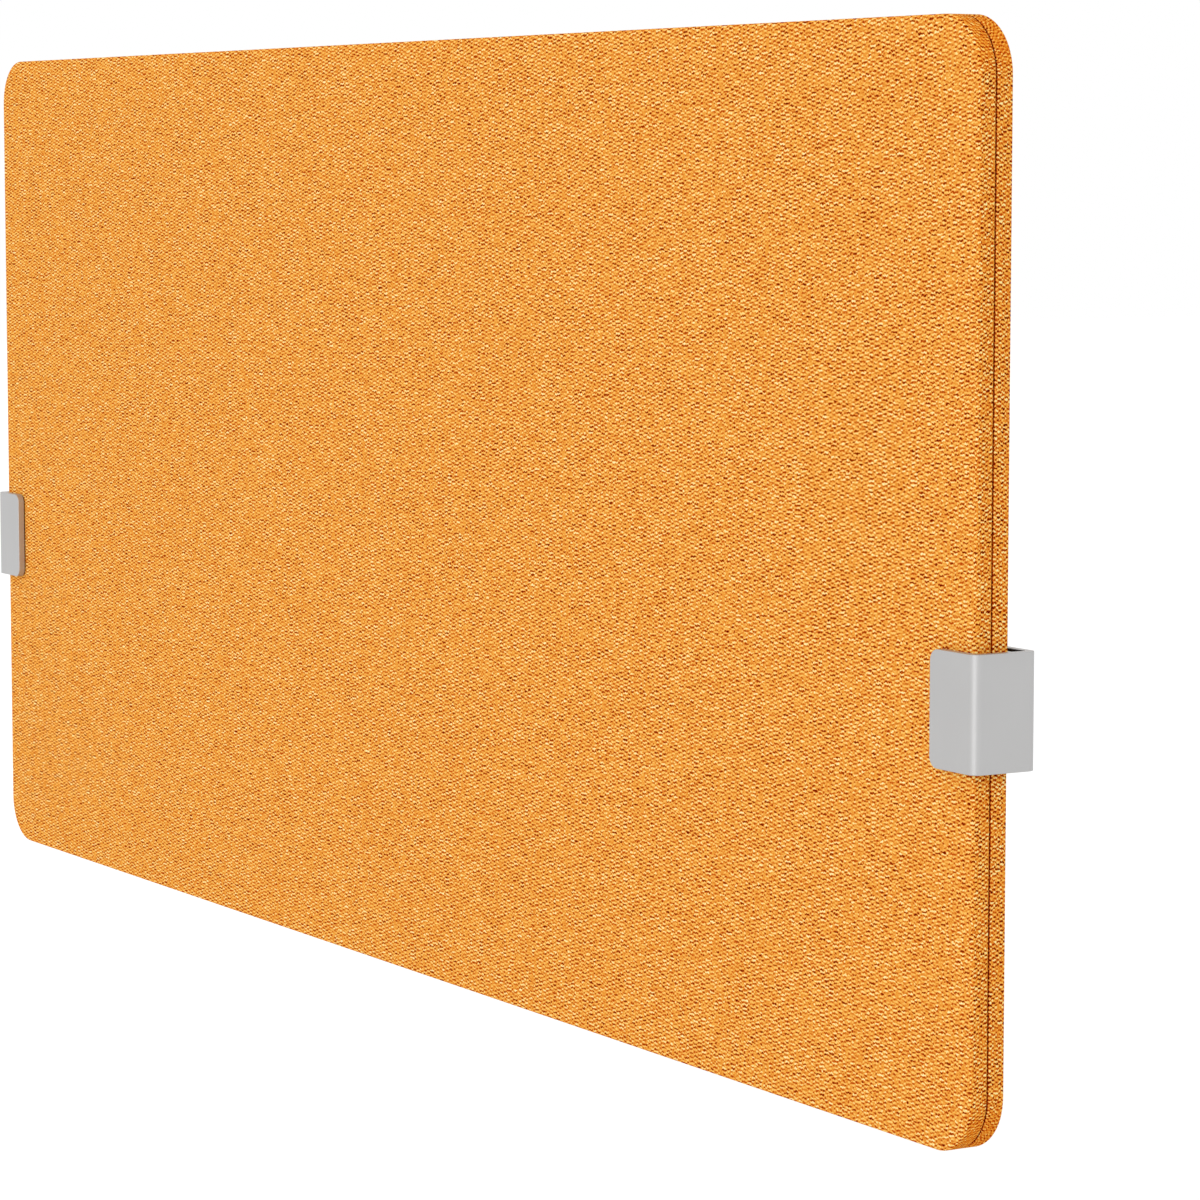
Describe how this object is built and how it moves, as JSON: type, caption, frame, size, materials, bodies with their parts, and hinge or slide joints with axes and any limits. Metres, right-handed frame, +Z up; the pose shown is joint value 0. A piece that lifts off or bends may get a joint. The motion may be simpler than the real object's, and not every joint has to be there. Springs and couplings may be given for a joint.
{
  "type": "desk privacy panel",
  "caption": "Upholstered desk privacy panel with rounded corners, held at its short ends by folded steel screw clamps whose arms fasten under a desktop.",
  "frame": {"origin": "middle of the four desk screw holes, on the plane of the desktop's underside", "axes": "+X along the panel, +Y towards the desk user, +Z up towards the desktop"},
  "size_m": [1.619, 0.126, 0.745],
  "materials": {
    "woven_fabric": "woven, matt",
    "seam_strip": "matt",
    "padding_felt": "felted",
    "frame_wood": "planed, unfinished",
    "absorber_board": "felted",
    "grey_powder_coat": "fine powder coat, satin",
    "black_rubber": "matt",
    "black_steel": "black oxide",
    "zinc_steel": "zinc plated"
  },
  "bodies": {
    "clamps": {"right_bracket": "grey_powder_coat", "right_front_pad": "black_rubber", "right_thread_bar": "black_steel", "right_desk_arm": "grey_powder_coat", "right_arm_bolts": "black_steel", "right_arm_washers": "zinc_steel", "right_arm_nuts": "zinc_steel", "left_bracket": "grey_powder_coat", "left_front_pad": "black_rubber", "left_thread_bar": "black_steel", "left_desk_arm": "grey_powder_coat", "left_arm_bolts": "black_steel", "left_arm_washers": "zinc_steel", "left_arm_nuts": "zinc_steel"},
    "panel": {"front_cover": "woven_fabric", "rear_cover": "woven_fabric", "seam_spline": "seam_strip", "front_felt": "padding_felt", "rear_felt": "padding_felt", "left_stile": "frame_wood", "right_stile": "frame_wood", "top_rail": "frame_wood", "bottom_rail": "frame_wood", "mid_stile": "frame_wood", "frame_dowels": "frame_wood", "left_infill": "absorber_board", "right_infill": "absorber_board"},
    "right_jaw": {"right_pressure_plate": "grey_powder_coat", "right_plate_pad": "black_rubber"},
    "right_upper_screw": {"right_upper_screw": "black_steel"},
    "right_lower_screw": {"right_lower_screw": "black_steel"},
    "left_jaw": {"left_pressure_plate": "grey_powder_coat", "left_plate_pad": "black_rubber"},
    "left_upper_screw": {"left_upper_screw": "black_steel"},
    "left_lower_screw": {"left_lower_screw": "black_steel"}
  },
  "joints": [
    {"name": "panel_height", "type": "slide", "parent": "clamps", "child": "panel", "axis": [0, 0, 1], "range_m": [-0.25, 0.2]},
    {"name": "right_jaw_slide", "type": "slide", "parent": "clamps", "child": "right_jaw", "axis": [0, 1, 0], "range_m": [0, 0.0025]},
    {"name": "right_upper_screw_turn", "type": "hinge", "parent": "right_jaw", "child": "right_upper_screw", "pos_m": [0.78, -0.046, -0.03], "axis": [0, 1, 0], "range_deg": [0, 721]},
    {"name": "right_lower_screw_turn", "type": "hinge", "parent": "right_jaw", "child": "right_lower_screw", "pos_m": [0.78, -0.046, -0.07], "axis": [0, 1, 0], "range_deg": [0, 721]},
    {"name": "left_jaw_slide", "type": "slide", "parent": "clamps", "child": "left_jaw", "axis": [0, 1, 0], "range_m": [0, 0.0025]},
    {"name": "left_upper_screw_turn", "type": "hinge", "parent": "left_jaw", "child": "left_upper_screw", "pos_m": [-0.78, -0.046, -0.03], "axis": [0, 1, 0], "range_deg": [0, 721]},
    {"name": "left_lower_screw_turn", "type": "hinge", "parent": "left_jaw", "child": "left_lower_screw", "pos_m": [-0.78, -0.046, -0.07], "axis": [0, 1, 0], "range_deg": [0, 721]}
  ],
  "couplings": [
    {"joint": "right_upper_screw_turn", "follows": "right_jaw_slide", "rad_per_m": 5026.5},
    {"joint": "right_lower_screw_turn", "follows": "right_jaw_slide", "rad_per_m": 5026.5},
    {"joint": "left_upper_screw_turn", "follows": "left_jaw_slide", "rad_per_m": 5026.5},
    {"joint": "left_lower_screw_turn", "follows": "left_jaw_slide", "rad_per_m": 5026.5}
  ]
}
